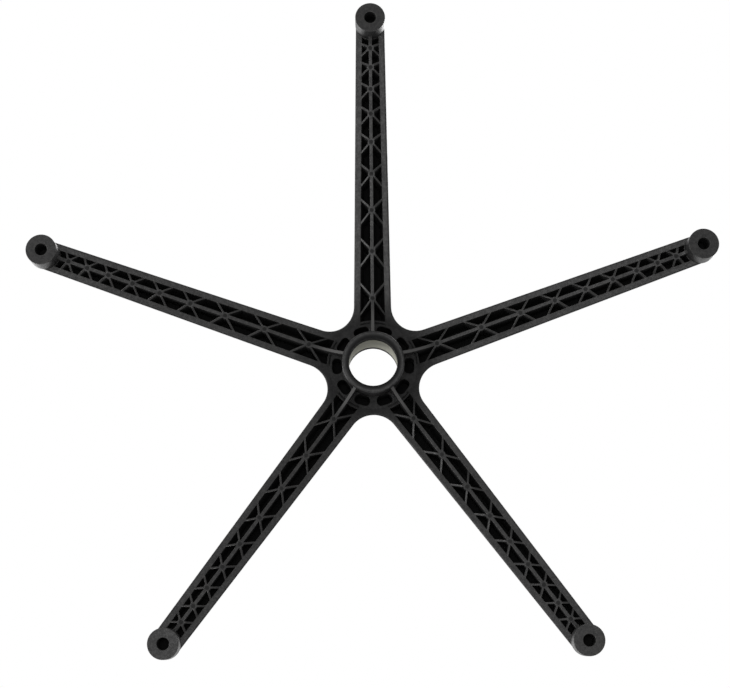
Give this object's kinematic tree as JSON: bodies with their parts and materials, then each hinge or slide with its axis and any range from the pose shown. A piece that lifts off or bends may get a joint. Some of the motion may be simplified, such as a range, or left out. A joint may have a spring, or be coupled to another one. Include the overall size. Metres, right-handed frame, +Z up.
{
  "type": "swivel chair base",
  "caption": "Low star base for a swivel chair: hollow ribbed arms in moulded nylon, a plug-in castor socket at each tip, and a metal-lined taper bore in the hub.",
  "frame": {"origin": "centre of the castor-socket circle, in the plane of the castor boss faces", "axes": "+Z up along the hub axis as the base stands in use; one arm points along +Y"},
  "size_m": [0.6486, 0.6183, 0.1225],
  "materials": {
    "nylon": "fine moulded grain, dull",
    "sleeve_metal": "dull, zinc-plated"
  },
  "bodies": {
    "root": {"star_base": "nylon", "taper_sleeve": "sleeve_metal"}
  },
  "joints": []
}
